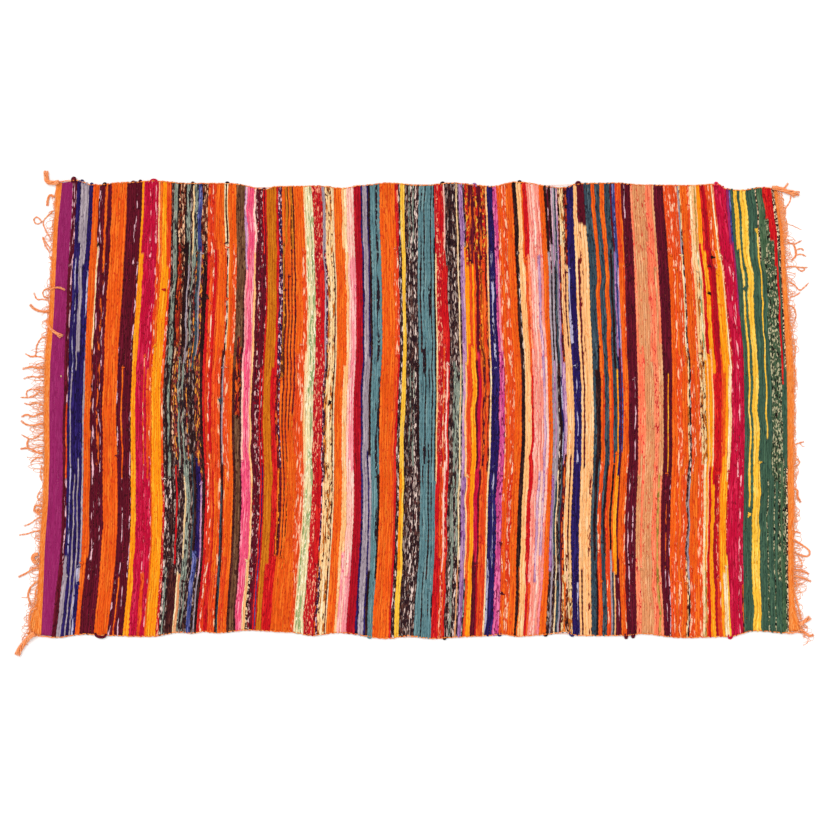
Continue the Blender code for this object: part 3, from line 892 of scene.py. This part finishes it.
def paint_strands(mesh, centres, across, up, rags, seed):
    """The attributes that the strand material reads: each point's colours and its place on its own strand."""
    steps = np.linalg.norm(np.diff(centres, axis=1, prepend=centres[:, :1]), axis=2)
    along = np.cumsum(steps, axis=1)[..., None] + np.zeros_like(across)
    apart = (np.arange(len(centres)) * STRANDS_APART + seed * SEEDS_APART)[:, None, None]
    thread = np.stack((along, across + apart, up), axis=-1)
    set_attribute(mesh, "thread_place", "FLOAT_VECTOR", "vector", thread)
    width = rags["width"][..., None]
    fleck = np.stack((along / rags["length"][..., None], apart + across / width, up / width), axis=-1)
    set_attribute(mesh, "fleck_place", "FLOAT_VECTOR", "vector", fleck)
    for key in ("base", "fleck", "spot"):
        colour = np.broadcast_to(rags[key][:, :, None, :], across.shape + (4,))
        set_attribute(mesh, "rag_" + key, "FLOAT_COLOR", "color", colour)
    limits = np.stack((rags["fleck_limit"], rags["spot_limit"], rags["tint"]), axis=-1)
    limits = np.broadcast_to(limits[:, :, None, :], across.shape + (3,))
    set_attribute(mesh, "rag_limits", "FLOAT_VECTOR", "vector", limits)


def set_attribute(mesh, name, kind, field, values):
    """A value for each point of the mesh."""
    attribute = mesh.attributes.new(name, kind, "POINT")
    attribute.data.foreach_set(field, np.ascontiguousarray(values, np.float32).ravel())


# ---------------------------------------------------------------- rag colours

NOISE_SPREAD = 0.115  # the spread of Blender's noise about its middle, 0.5


def linear(colour):
    """Linear light from red, green and blue out of 255."""
    share = np.array(colour) / 255
    return tuple(np.where(share <= 0.04045, share / 12.92, ((share + 0.055) / 1.055) ** 2.4)) + (1.0,)


def noise_limit(share):
    """The value that this share of Blender's noise is above."""
    return 0.5 + NOISE_SPREAD * NormalDist().inv_cdf(1 - share)


def rag_facts(kinds, indices, tint):
    """Each ring's colours and limits, from its rag's row in that table. indices is strands by rings."""
    base, fleck, spot, fleck_share, length, width, spot_share = zip(*kinds)
    return {
        "base": np.array([linear(colour) for colour in base])[indices],
        "fleck": np.array([linear(colour) for colour in fleck])[indices],
        "spot": np.array([linear(colour) for colour in spot])[indices],
        "fleck_limit": np.array([noise_limit(share) for share in fleck_share])[indices],
        "spot_limit": np.array([noise_limit(share) for share in spot_share])[indices],
        "length": np.array(length, float)[indices],
        "width": np.array(width, float)[indices],
        "tint": tint,
    }


def one_rag(row, shape, rng):
    """The facts of strands that are all one rag or yarn."""
    tint = 1 + 0.06 * slow_noise(rng, shape[0], shape[1], stretch=30)
    return rag_facts([row], np.zeros(shape, int), tint)


def named_rags(names, rings):
    """The facts of strands that are each the one rag of that name."""
    indices = np.repeat([[list(RAGS).index(name)] for name in names], rings, axis=1)
    return rag_facts(RAGS.values(), indices, np.full(indices.shape, 1.0))


def read_stripes(rows):
    """For each pick of a section: how wide it is beside a usual one, its five rags, and their four joins."""
    names = list(RAGS)
    widths, chart, joins = [], [], []
    for row in rows.strip().splitlines():
        stripe, _, heights = row.partition(" at ")
        count, *runs = stripe.split()
        rags = []
        for run in runs:
            name, _, times_over = run.partition("*")
            rags += [names.index(name)] * int(times_over or 1)
        for _ in range(max(1, round(float(count)))):
            widths.append(min(float(count), 1.0))
            chart.append(rags * 5 if len(rags) == 1 else rags)
            joins.append([float(height) for height in heights.split()] or RAG_JOINS)
    return np.array(widths), np.array(chart), np.array(joins, float)


def charted_rags(chart, joins, y, rng):
    """Which rag each ring of a section's picks is, as an index into RAGS."""
    spread = np.where(joins == RAG_JOINS, JOIN_SPREAD, CHARTED_SPREAD)
    joins = joins + spread * rng.uniform(-1, 1, joins.shape)
    fifth = (y[:, :, None] > joins[:, None, :]).sum(axis=2)
    return np.take_along_axis(chart, fifth, axis=1)


# ---------------------------------------------------------------- materials

CLOTH_SHADE = 0.9  # how light the cloth is against the light that falls on it
PAINTED_FLANK_SHADE = 0.68  # painted shade: how light a strand's sloping flanks are, where shade falls between neighbouring strands
FLANK_SLOPES = (0.15, 0.75)  # how upright a face's normal is on a flank, and on top
FLECK_EDGE = 0.025  # how soft a fleck's edge is
SPOT_EDGE = 0.02
SPOT_SCALE = (0.12, 0.36, 0.36)  # noise to a mm along a strand, across it and up
FOLD_SCALE = (0.045, 0.9, 0.9)
NOISE_RANGE = (0.3, 0.7)  # nearly all of Blender's noise is between these
FIBRE_CONTRAST = 0.1


def add_node(tree, kind, **values):
    """A node with those settings; a value for an input is given by its name with underscores for spaces."""
    node = tree.nodes.new(kind)
    for name, value in values.items():
        socket = node.inputs.get(name.replace("_", " "))
        if socket is not None:
            socket.default_value = value
        else:
            setattr(node, name, value)
    return node


def attribute_node(tree, name, output):
    """One of the attributes that paint_strands sets."""
    node = add_node(tree, "ShaderNodeAttribute", attribute_name=name)
    return node.outputs[output]


def noise(tree, vector, detail, roughness=0.5):
    """Blender's noise at a place."""
    node = add_node(tree, "ShaderNodeTexNoise", Scale=1.0, Detail=detail, Roughness=roughness)
    tree.links.new(vector, node.inputs["Vector"])
    return node.outputs[0]


def scaled_noise(tree, vector, scale, detail, roughness=0.5):
    """Blender's noise at a place, stretched by that scale."""
    node = add_node(tree, "ShaderNodeVectorMath", operation="MULTIPLY")
    tree.links.new(vector, node.inputs[0])
    node.inputs[1].default_value = scale
    return noise(tree, node.outputs[0], detail, roughness)


def separated(tree, vector):
    """A vector's three parts."""
    node = add_node(tree, "ShaderNodeSeparateXYZ")
    tree.links.new(vector, node.inputs[0])
    return node.outputs


def calculated(tree, operation, *values):
    """The result of a sum on one or two values."""
    node = add_node(tree, "ShaderNodeMath", operation=operation)
    for value, socket in zip(values, node.inputs):
        tree.links.new(value, socket)
    return node.outputs[0]


def ranged(tree, value, low, high, to_low, to_high):
    """A value moved from one range to another, and kept inside it."""
    node = add_node(tree, "ShaderNodeMapRange")
    for name, number in zip(("From Min", "From Max", "To Min", "To Max"), (low, high, to_low, to_high)):
        node.inputs[name].default_value = number
    tree.links.new(value, node.inputs["Value"])
    return node.outputs[0]


def above(tree, value, limit, edge):
    """0 below the limit and 1 above it, with a soft edge."""
    return ranged(tree, calculated(tree, "SUBTRACT", value, limit), -edge, edge, 0, 1)


def mixed(tree, factor, first, second):
    """The second colour over the first one, by that factor."""
    node = add_node(tree, "ShaderNodeMix", data_type="RGBA")
    for source, socket in ((factor, 0), (first, 6), (second, 7)):
        tree.links.new(source, node.inputs[socket])
    return node.outputs[2]


def times(tree, colour, *factors):
    """The colour made lighter or darker by each factor."""
    for factor in factors:
        node = add_node(tree, "ShaderNodeVectorMath", operation="SCALE")
        tree.links.new(colour, node.inputs[0])
        tree.links.new(factor, node.inputs["Scale"])
        colour = node.outputs[0]
    return colour


def strand_material(name, fibre_scale, bump_depth, painted_fold_shade):
    """Cotton: flecks and spots of a rag's other colours, lengthwise folds with painted shade and light,
    fibres, and painted shade on the flanks.
    """
    material = bpy.data.materials.new(name)
    material.use_nodes = True
    tree = material.node_tree
    shader = tree.nodes["Principled BSDF"]
    shader.inputs["Roughness"].default_value = 0.92
    shader.inputs["Specular IOR Level"].default_value = 0.06
    shader.inputs["Sheen Weight"].default_value = 0.02
    shader.inputs["Sheen Roughness"].default_value = 0.6
    thread = attribute_node(tree, "thread_place", "Vector")
    fleck_limit, spot_limit, tint = separated(tree, attribute_node(tree, "rag_limits", "Vector"))
    fleck_noise = noise(tree, attribute_node(tree, "fleck_place", "Vector"), detail=1.0)
    spot_noise = scaled_noise(tree, thread, SPOT_SCALE, detail=1.0)
    folds = scaled_noise(tree, thread, FOLD_SCALE, detail=2.0)
    fibres = scaled_noise(tree, thread, fibre_scale, detail=3.0, roughness=0.65)
    base, fleck, spot = (attribute_node(tree, "rag_" + key, "Color") for key in ("base", "fleck", "spot"))
    colour = mixed(tree, above(tree, fleck_noise, fleck_limit, FLECK_EDGE), base, fleck)
    colour = mixed(tree, above(tree, spot_noise, spot_limit, SPOT_EDGE), colour, spot)
    # Painted shade: each strand's flanks, whose faces slope, are made darker than its top.
    normal = separated(tree, add_node(tree, "ShaderNodeNewGeometry").outputs["Normal"])
    upright = calculated(tree, "ABSOLUTE", normal[2])
    colour = times(
        tree, colour, tint,
        # painted shade in the folds' hollows and painted light on their crests, which follow the folds' bump
        ranged(tree, folds, *NOISE_RANGE, 1 - painted_fold_shade, 1 + painted_fold_shade),
        ranged(tree, fibres, *NOISE_RANGE, 1 - FIBRE_CONTRAST, 1 + FIBRE_CONTRAST),
        ranged(tree, upright, *FLANK_SLOPES, PAINTED_FLANK_SHADE, CLOTH_SHADE),
    )
    tree.links.new(colour, shader.inputs["Base Color"])
    bump = add_node(tree, "ShaderNodeBump", Strength=0.8, Distance=bump_depth * MM)
    tree.links.new(calculated(tree, "ADD", folds, fibres), bump.inputs["Height"])
    tree.links.new(bump.outputs[0], shader.inputs["Normal"])
    return material


# ---------------------------------------------------------------- the woven cloth

def with_turns(x, y, z, first_pick, outline, spacing):
    """The picks' centres, with their turns over or under the cords, half way to the picks that they join."""
    picks = first_pick + np.arange(len(x))
    turns = []
    for end, edge, out in ((0, "low", -1), (-1, "high", 1)):
        side = np.where((picks + 1 + end) % 2 == 0, 1, -1)  # over the cord and right, or under it and left
        cord_y = np.interp(x[:, end], *outline[edge]) - out * CORD_RADIUS
        points = []
        for along, reach, lift in TURN_POINTS:
            turn_x = x[:, end] + side * spacing[:, end] * along
            turn_y = cord_y + out * TURN_REACH * reach
            turn_z = RAG_MIDDLE + side * CORD_RADIUS * lift
            points.append(np.stack((turn_x, turn_y, turn_z), axis=-1))
        turns.append(np.stack(points, axis=1))
    low, high = turns
    return np.concatenate((low[:, ::-1], np.stack((x, y, z), axis=-1), high), axis=1)


def padded_ends(values):
    """Repeats each row's end values for the turns' rings, made smaller towards the tips."""
    taper = np.array(TURN_TAPER)
    return np.concatenate((values[:, :1] * taper[::-1], values, values[:, -1:] * taper), axis=1)


def rag_picks(outline, edges, number, first_pick, rng):
    """A section's picks, as centres, half widths, half heights, rags and tints; and the knots on them."""
    usual, chart, joins = read_stripes(SECTIONS[number][1])
    count = len(usual)
    x, y, spacing = pick_places(outline, edges[number], edges[number + 1], usual, rng, RAG_UNEVEN)
    parity = (first_pick + np.arange(count)[:, None] + np.arange(WARPS)) % 2
    over = np.where(parity == 0, 1, -1)
    full = usual[:, None]
    x = x + RAG_SIDEWAYS * slow_noise(rng, count, WARPS, stretch=2.5)
    z = RAG_MIDDLE + full * RAG_RISE * over + NARROW_LIFT * (1 - full)
    z = z + RAG_UP_DOWN * slow_noise(rng, count, WARPS, stretch=4)
    bulge = RAG_BULGE * slow_noise(rng, count, WARPS, stretch=1.6)
    half_width = spacing * RAG_COVER * (1 + RAG_HUMP * over + bulge)
    swell = RAG_SWELL * slow_noise(rng, count, WARPS, stretch=6)
    half_height = (NARROW_HEIGHT + (1 - NARROW_HEIGHT) * full) * RAG_HALF_HEIGHT * (1 + swell)
    centres = with_turns(x, y, z, first_pick, outline, spacing)
    indices = charted_rags(chart, joins, y, rng)
    knots = join_knots(x, y, indices, rng)
    turn = len(TURN_POINTS)
    indices = np.pad(indices, ((0, 0), (turn, turn)), mode="edge")
    tint = 1 + TINT_ALONG * slow_noise(rng, count, indices.shape[1], stretch=40)
    tint = tint + TINT_APART * rng.uniform(-1, 1, (count, 1))
    return (centres, padded_ends(half_width), padded_ends(half_height), indices, tint), knots


def join_knots(x, y, indices, rng):
    """A knot at some of the places where one rag ends and the next starts, as rows like those of KNOTS."""
    names = list(RAGS)
    knots = []
    for pick, warp in np.argwhere(np.diff(indices, axis=1) != 0):
        if rng.uniform() < JOINS_WITH_KNOTS:
            size = rng.uniform(*JOIN_KNOT_SIZES)
            knots.append((x[pick, warp], y[pick, warp], size, names[indices[pick, warp]]))
    return knots


def build_rag_cloth(outline, material):
    """The rag cloth's pieces, of a few sections each, with their lengths; and the knots on it."""
    edges = section_edges(outline)
    rng = np.random.default_rng(11)
    made, knots, first_pick = [], [], 0
    for start in range(0, len(SECTIONS), SECTIONS_TO_A_PIECE):
        parts = []
        for number in range(start, min(start + SECTIONS_TO_A_PIECE, len(SECTIONS))):
            picks, tied = rag_picks(outline, edges, number, first_pick, rng)
            parts.append(picks)
            knots += tied
            first_pick += len(picks[0])
        centres, half_width, half_height, indices, tint = (np.concatenate(part) for part in zip(*parts))
        roll = RAG_ROLL * slow_noise(rng, len(centres), centres.shape[1], stretch=9)
        facts = rag_facts(RAGS.values(), indices, tint)
        piece = strand_mesh(
            f"rag_cloth_{len(made) + 1}", centres, half_width, half_height, facts, material,
            roll=roll, seed=len(made),
        )
        length = float(np.ptp(centres[:, WARPS // 2, 0])) * MM
        made.append((piece, length))
    return made, knots


def fine_picks(name, outline, left, right, count, yarn, material, rng):
    """A band of fine yarn picks between two lines, and its mean length in metres."""
    x, y, spacing = pick_places(outline, left, right, np.ones(count), rng, FINE_UNEVEN)
    parity = (np.arange(count)[:, None] + np.arange(WARPS)) % 2
    rise = np.where(parity == 0, FINE_RISE, -FINE_RISE)
    z = FINE_MIDDLE + rise + FINE_UP_DOWN * slow_noise(rng, count, WARPS, stretch=4)
    half_width = spacing * FINE_COVER * (1 + FINE_BULGE * slow_noise(rng, count, WARPS, stretch=4))
    half_height = np.full(x.shape, FINE_HALF_HEIGHT)
    centres = np.stack((x, y, z), axis=-1)
    facts = one_rag(yarn, x.shape, rng)
    piece = strand_mesh(name, centres, half_width, half_height, facts, material, sides=4, seed=31)
    return piece, float(spacing.sum(axis=0).mean()) * MM


def build_fine_bands(outline, material, rng):
    """The plum band and the two headings, each with its length."""
    left, right = seam_line(outline, "left"), seam_line(outline, "right")
    bands = (
        ("plum_band", left, section_edges(outline)[0], PLUM_PICKS, RAGS["plum"]),
        ("heading_left", heading_line(outline, -1), left, HEADING_PICKS, WARP_YARN),
        ("heading_right", right, heading_line(outline, 1), HEADING_PICKS, WARP_YARN),
    )
    return [
        fine_picks(name, outline, first, last, count, yarn, material, rng)
        for name, first, last, count, yarn in bands
    ]


def warp_ends(outline):
    """The X of the warp threads' left ends and right ends, just inside the headings' outer edges."""
    ends = []
    for side, x in HEADINGS_END.items():
        line = heading_line(outline, side)
        for _ in range(3):  # each round brings X and Y nearer to agreeing
            x = line(warp_height(outline, x, warp_shares()[:, None])) - side * WARP_INSET
        ends.append(x)
    return ends


def build_warp(outline, material, rng):
    """The warp threads, which lie lower in the plum band and the headings than in the thicker rag cloth."""
    left, right = warp_ends(outline)
    x = left + (right - left) * np.linspace(0, 1, WARP_RINGS)
    y = warp_height(outline, x, warp_shares()[:, None])
    inside = np.minimum(x - smooth_line(PLUM_EDGE)(y), seam_line(outline, "right")(y) - x)
    z = FINE_WARP + (RAG_MIDDLE - FINE_WARP) * np.clip(inside / THINNING, 0, 1)
    centres = np.stack((x, y, z), axis=-1)
    half = np.full(x.shape, WARP_RADIUS)
    facts = one_rag(WARP_YARN, x.shape, rng)
    return strand_mesh("warp", centres, half, half, facts, material, sides=4, seed=41)


def build_cords(outline, material, rng):
    """The two selvedge cords, which the picks turn round."""
    left, right = warp_ends(outline)
    cords = []
    for edge, out, thread in (("low", -1, 0), ("high", 1, -1)):
        x = np.linspace(left[thread, 0], right[thread, 0], CORD_RINGS)[None, :]
        bend = CORD_BEND * np.sin(x / CORD_WAVE) + CORD_STRAY * slow_noise(rng, 1, x.size, stretch=5)
        y = np.interp(x, *outline[edge]) - out * CORD_INSET * CORD_RADIUS + bend
        z = RAG_MIDDLE + CORD_LIFT + CORD_HEAVE * np.cos(x / CORD_WAVE)
        centres = np.stack((x, y, z), axis=-1)
        half = CORD_RADIUS * (0.86 + 0.10 * np.sin(x / 1.1))
        facts = one_rag(WARP_YARN, x.shape, rng)
        name = f"selvedge_cord_{edge}"
        cords.append(strand_mesh(name, centres, half, half, facts, material, seed=43 + out))
    return cords


# ---------------------------------------------------------------- fringe and knots

TAIL_RINGS = 26
TAIL_PACKING = 0.62  # how thick a tail's yarns are beside the tail
TAIL_TWIST = 5  # how many times its thickness a tail runs in one turn of its twist
TAIL_FRAY = 0.5  # how much wider the twist is at its end
TAIL_FLATNESS = 0.45  # how high the twist is beside its width
TAIL_TAPER = 0.5  # how much thinner its yarns end
YARN_STRAY = 0.25
DROP = 5.0  # a yarn comes down to the floor over this length, half of it past the heading's edge

WEB_RINGS = 9
WEB_ROOT = 1.5  # how far inside the heading's edge a loose thread starts
WEB_ARCHES = 0.7  # the share of the loose threads that come back to the heading
WEB_REACHES = (0.3, 1.0)  # the least and the most of its web's reach that a thread has
WEB_RADII = (0.25, 0.42)
WEB_STRAYS = (1.2, 1.5)  # how far its points stray along X and along Y
ARCH_SPANS = (6, 22)
ARCH_ALONG = (0, 0.15, 0.5, 0.85, 1)  # the points of a thread that comes back, as shares of its span
ARCH_OUT = (0, 0.8, 1, 0.8, 0)  # and of its reach
HAIR_OUT = (0, 0.4, 0.8, 1, 0.9)  # the points of one that doesn't, as shares of its reach
HAIR_STEP = 5  # how far along Y it may go from one point to the next

LOOP_ALONG = (-0.5, -0.42, -0.2, 0.2, 0.42, 0.5)  # a selvedge loop's points, as shares of its length
LOOP_OUT = (0.3, 1, 1, 0.3)  # and how far out all but its ends are, as shares of its reach
LOOP_ROOT = 4  # how far inside the selvedge its ends are
LOOP_FLATNESS = 0.8
LOOP_HEIGHT = 3.6  # of its ends
LOOP_SAG = 1.4  # how much lower its middle is

# A knot's three strands, as shares of its size from its middle: a turn over the rag, a turn under it, and a
# loose end.
KNOT_RINGS = 8
KNOT_RADIUS = 0.20  # of its strands, as a share of its size
KNOT_STRANDS = (
    ((-0.50, -0.18, -0.25), (-0.20, -0.12, 0.22), (0.20, 0.12, 0.22), (0.50, 0.18, -0.25)),
    ((-0.28, 0.50, -0.25), (-0.18, 0.20, 0.12), (0.18, -0.20, 0.16), (0.28, -0.50, -0.25)),
    ((0.00, 0.00, 0.10), (0.12, 0.38, 0.16), (0.30, 0.62, 0.02), (0.28, 0.95, -0.15)),
)


def smooth_path(points, rings):
    """A path through those points with its corners rounded off, as that many evenly spaced points."""
    points = np.array(points, float)
    for _ in range(3):
        near = 0.75 * points[:-1] + 0.25 * points[1:]
        far = 0.25 * points[:-1] + 0.75 * points[1:]
        inner = np.stack((near, far), axis=1).reshape(-1, points.shape[1])
        points = np.concatenate((points[:1], inner, points[-1:]))
    steps = np.linalg.norm(np.diff(points, axis=0), axis=1)
    along = np.concatenate(([0], np.cumsum(steps)))
    even = np.linspace(0, along[-1], rings)
    return np.stack([np.interp(even, along, column) for column in points.T], axis=1)


def lying_height(path, line, side):
    """How high the ground is under a yarn: the band's top on the cloth, and the floor beyond it."""
    out = side * (path[:, 0] - line(path[:, 1]))
    return BAND_TOP * np.clip(0.5 - out / DROP, 0, 1)


def build_tails(name, tails, line, side, material, rng):
    """The fringe's tails and loops, each a few yarns twisted round one another."""
    centres, radii = [], []
    share = np.linspace(0, 1, TAIL_RINGS)
    for thick, yarns, points in tails:
        path = smooth_path(points, TAIL_RINGS)
        radius = TAIL_PACKING * thick / (1 + math.sqrt(yarns))
        heading = np.gradient(path, axis=0)
        heading /= np.linalg.norm(heading, axis=1, keepdims=True)
        length = np.linalg.norm(np.diff(path, axis=0), axis=1).sum()
        spread = (thick / 2 - radius) * (1 + TAIL_FRAY * share ** 3)
        ground = lying_height(path, line, side)
        for yarn in range(yarns):
            turn = 2 * math.pi * (yarn / yarns + share * length / (TAIL_TWIST * thick) + rng.uniform(0, 0.08))
            aside = spread * np.cos(turn) + YARN_STRAY * slow_noise(rng, 1, TAIL_RINGS, stretch=4)[0]
            x = path[:, 0] + heading[:, 1] * aside
            y = path[:, 1] - heading[:, 0] * aside
            z = ground + radius + spread * TAIL_FLATNESS * (1 + np.sin(turn))
            centres.append(np.stack((x, y, z), axis=1))
            swell = 1 + 0.1 * slow_noise(rng, 1, TAIL_RINGS, stretch=3)[0]
            radii.append(radius * swell * (1 - TAIL_TAPER * share ** 6))
    centres, radii = np.array(centres), np.array(radii)
    facts = one_rag(FRINGE_YARN, radii.shape, rng)
    return strand_mesh(name, centres, radii, radii, facts, material, sides=5, seed=50 + side)


def build_webs(name, webs, line, side, material, rng):
    """The fine loose threads between the tails, which drift out from the heading. Most of them come back."""
    centres, radii = [], []
    for first, last, reach, count in webs:
        for _ in range(count):
            start = rng.uniform(last, first)
            far = rng.uniform(*WEB_REACHES) * reach
            if rng.uniform() < WEB_ARCHES:
                span = rng.uniform(*ARCH_SPANS) * rng.choice((-1, 1))
                y = start + span * np.array(ARCH_ALONG)
                out = far * np.array(ARCH_OUT) - WEB_ROOT
            else:
                y = start + np.cumsum(rng.uniform(-HAIR_STEP, HAIR_STEP, len(HAIR_OUT)))
                out = far * np.array(HAIR_OUT) - WEB_ROOT
            y = y + WEB_STRAYS[1] * rng.uniform(-1, 1, len(y))
            x = line(y) + side * (out + WEB_STRAYS[0] * rng.uniform(-1, 1, len(y)))
            path = smooth_path(np.stack((x, y), axis=1), WEB_RINGS)
            radius = rng.uniform(*WEB_RADII)
            lift = 0.2 * (1 + slow_noise(rng, 1, WEB_RINGS, stretch=3)[0])
            centres.append(np.column_stack((path, lying_height(path, line, side) + radius + lift)))
            radii.append(np.full(WEB_RINGS, radius))
    centres, radii = np.array(centres), np.array(radii)
    facts = one_rag(WEB_YARN, radii.shape, rng)
    return strand_mesh(name, centres, radii, radii, facts, material, sides=4, seed=60 + side)


def build_loops(outline, material, rng):
    """The loops of rag past the selvedges."""
    centres, radii = [], []
    bow = np.sin(np.linspace(0, math.pi, TAIL_RINGS))
    for x, length, out, thick, side, _ in LOOPS:
        along = x + np.array(LOOP_ALONG) * length
        reach = np.array((-LOOP_ROOT, *(out * share for share in LOOP_OUT), -LOOP_ROOT))
        edge = np.interp(along, *outline["low" if side < 0 else "high"])
        path = smooth_path(np.stack((along, edge + side * reach), axis=1), TAIL_RINGS)
        lift = LOOP_HEIGHT + 0.5 * slow_noise(rng, 1, TAIL_RINGS, stretch=6)[0] - LOOP_SAG * bow
        radii.append(thick * (0.7 + 0.5 * bow))
        centres.append(np.column_stack((path, np.maximum(lift, LOOP_FLATNESS * radii[-1]))))
    centres, radii = np.array(centres), np.array(radii)
    facts = named_rags([row[-1] for row in LOOPS], TAIL_RINGS)
    return strand_mesh("selvedge_loops", centres, radii, LOOP_FLATNESS * radii, facts, material, seed=80)


def build_knots(knots, material, rng):
    """The knots on the rags, each of three short bent strands."""
    centres, radii, names = [], [], []
    profile = np.sin(np.linspace(0.35, math.pi - 0.35, KNOT_RINGS)) ** 0.4  # narrower at both ends
    for x, y, size, rag in knots:
        angle = rng.uniform(0, 2 * math.pi)
        cosine, sine = math.cos(angle), math.sin(angle)
        turned = np.array(((cosine, sine, 0), (-sine, cosine, 0), (0, 0, 1)))
        for strand in KNOT_STRANDS:
            path = smooth_path(np.array(strand) @ turned * size, KNOT_RINGS)
            centres.append(path + (x, y, CLOTH_TOP))
            radii.append(size * KNOT_RADIUS * profile)
            names.append(rag)
    centres, radii = np.array(centres), np.array(radii)
    return strand_mesh("knots", centres, radii, radii, named_rags(names, KNOT_RINGS), material, seed=70)


# ---------------------------------------------------------------- light, camera and floor

VIEW_CENTRE = (-4, 5)  # where the camera looks
VIEW_WIDTH = 1650
CAMERA_HEIGHT = 3000
SENSOR_WIDTH = 36
SUN_ENERGY = 1.1
SUN_SOFTNESS = 35  # degrees
SUN_TURN = (-38, -22, 0)  # degrees
FLOOR_SIZE = 12  # metres
FLOOR_COLOUR = (0.93, 0.93, 0.93, 1.0)


def build_studio():
    """A pale floor, an even pale sky, a soft sun, and a camera straight above."""
    scene = bpy.context.scene
    world = bpy.data.worlds.new("studio")
    world.use_nodes = True
    world.node_tree.nodes["Background"].inputs["Color"].default_value = (1.0, 1.0, 1.0, 1.0)
    world.node_tree.nodes["Background"].inputs["Strength"].default_value = 1.0
    scene.world = world
    sun = bpy.data.objects.new("sun", bpy.data.lights.new("sun", "SUN"))
    sun.data.energy = SUN_ENERGY
    sun.data.angle = math.radians(SUN_SOFTNESS)
    sun.rotation_euler = [math.radians(turn) for turn in SUN_TURN]
    scene.collection.objects.link(sun)
    camera = bpy.data.objects.new("camera", bpy.data.cameras.new("camera"))
    camera.location = (VIEW_CENTRE[0] * MM, VIEW_CENTRE[1] * MM, CAMERA_HEIGHT * MM)
    camera.data.sensor_width = SENSOR_WIDTH
    camera.data.lens = SENSOR_WIDTH * CAMERA_HEIGHT / VIEW_WIDTH
    scene.collection.objects.link(camera)
    scene.camera = camera
    bpy.ops.mesh.primitive_plane_add(size=FLOOR_SIZE)
    floor = bpy.context.object
    floor.name = "floor"
    material = bpy.data.materials.new("floor")
    material.use_nodes = True
    shader = material.node_tree.nodes["Principled BSDF"]
    shader.inputs["Base Color"].default_value = FLOOR_COLOUR
    shader.inputs["Roughness"].default_value = 0.9
    shader.inputs["Specular IOR Level"].default_value = 0.1
    floor.data.materials.append(material)
    scene.view_settings.view_transform = "Standard"
    scene.view_settings.look = "None"


# ---------------------------------------------------------------- the whole rug

def settle(piece, node):
    """The piece rides on the rug and stands for that CAD node, which is hidden."""
    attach(piece, "root")
    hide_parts(node)


def main():
    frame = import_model()
    outline = read_outline(frame["nodes"]["rug_body"])
    rng = np.random.default_rng(5)
    rag = strand_material("rag_cotton", fibre_scale=(0.7, 2.2, 2.2), bump_depth=0.35, painted_fold_shade=0.18)
    yarn = strand_material("cotton_yarn", fibre_scale=(1.6, 3.0, 3.0), bump_depth=0.18, painted_fold_shade=0.06)
    build_studio()

    cloth, joins = build_rag_cloth(outline, rag)
    (plum, plum_length), *headings = build_fine_bands(outline, yarn, rng)
    warp = build_warp(outline, yarn, rng)
    cords = build_cords(outline, yarn, rng)
    knots = build_knots(list(KNOTS) + joins, rag, rng)
    loops = build_loops(outline, rag, rng)
    for piece, length in cloth:
        settle(piece, "rug_body")
    for piece in (knots, loops, plum):
        settle(piece, "rug_body")
    for piece in (warp, *cords):
        settle(piece, "rug_body")

    ends = (("left", -1, LEFT_TAILS, LEFT_WEBS), ("right", 1, RIGHT_TAILS, RIGHT_WEBS))
    for (heading, length), (end, side, tails, webs) in zip(headings, ends):
        line = heading_line(outline, side)
        tail = build_tails(f"tails_{end}", tails, line, side, yarn, rng)
        web = build_webs(f"loose_threads_{end}", webs, line, side, yarn, rng)
        for piece in (heading, tail, web):
            settle(piece, f"fringe_{end}")


main()
